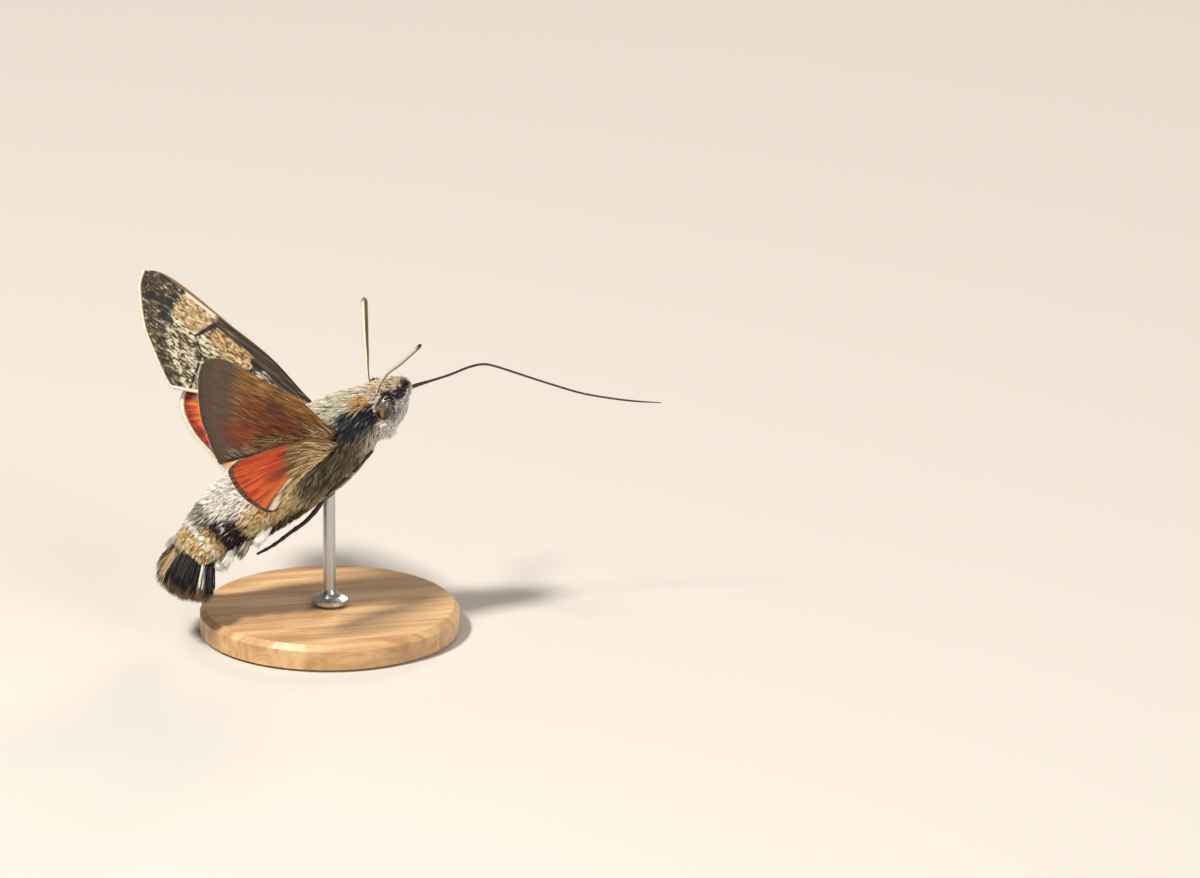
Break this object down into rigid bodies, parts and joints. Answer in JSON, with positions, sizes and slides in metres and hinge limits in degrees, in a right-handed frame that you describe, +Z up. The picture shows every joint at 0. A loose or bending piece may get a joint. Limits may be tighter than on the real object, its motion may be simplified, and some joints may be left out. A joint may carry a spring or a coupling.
{
  "type": "hummingbird hawk moth model",
  "caption": "Life-size hummingbird hawk moth hovering with wings raised and tongue stretched out, on a small display stand.",
  "frame": {"origin": "middle of the underside of the stand's base, on the surface it stands on", "axes": "+X the way the moth faces, +Y to the moth's left, +Z up"},
  "size_m": [0.0456, 0.0282, 0.0302],
  "materials": {
    "head_coat": "short soft fur, beige on the crown, dark stripe through the eye, white below",
    "thorax_coat": "dense soft fur, olive grey above, streaked brown and cream below",
    "abdomen_coat": "scaled fur, banded cream, buff and black with white side tufts",
    "tail_coat": "long flat hair scales, black with brown upper side",
    "forewing_scales": "matt wing scales, mottled grey brown with dark cross lines",
    "hindwing_scales": "matt wing scales, vivid orange with a brown margin",
    "palp_coat": "short dense white fur",
    "eye_cornea": "glossy faceted cornea, dark brown",
    "antenna_horn": "ribbed horn with pale scales on the upper side",
    "tongue_horn": "smooth dark horn",
    "leg_horn": "dark horn with fine scales",
    "stand_wood": "turned pale wood, satin varnish",
    "stand_steel": "fine turned steel"
  },
  "bodies": {
    "root": {"head": "head_coat", "eye_right": "eye_cornea", "eye_left": "eye_cornea", "palp_right": "palp_coat", "palp_left": "palp_coat", "antenna_right": "antenna_horn", "antenna_left": "antenna_horn", "proboscis_base": "tongue_horn", "proboscis_tip": "tongue_horn", "thorax": "thorax_coat", "abdomen": "abdomen_coat", "tail_fan": "tail_coat", "forewing_right": "forewing_scales", "forewing_left": "forewing_scales", "hindwing_right": "hindwing_scales", "hindwing_left": "hindwing_scales", "leg_fore_right": "leg_horn", "leg_fore_left": "leg_horn", "leg_mid_right": "leg_horn", "leg_mid_left": "leg_horn", "leg_hind_right": "leg_horn", "leg_hind_left": "leg_horn", "stand_base": "stand_wood", "stand_rod": "stand_steel"}
  },
  "joints": []
}
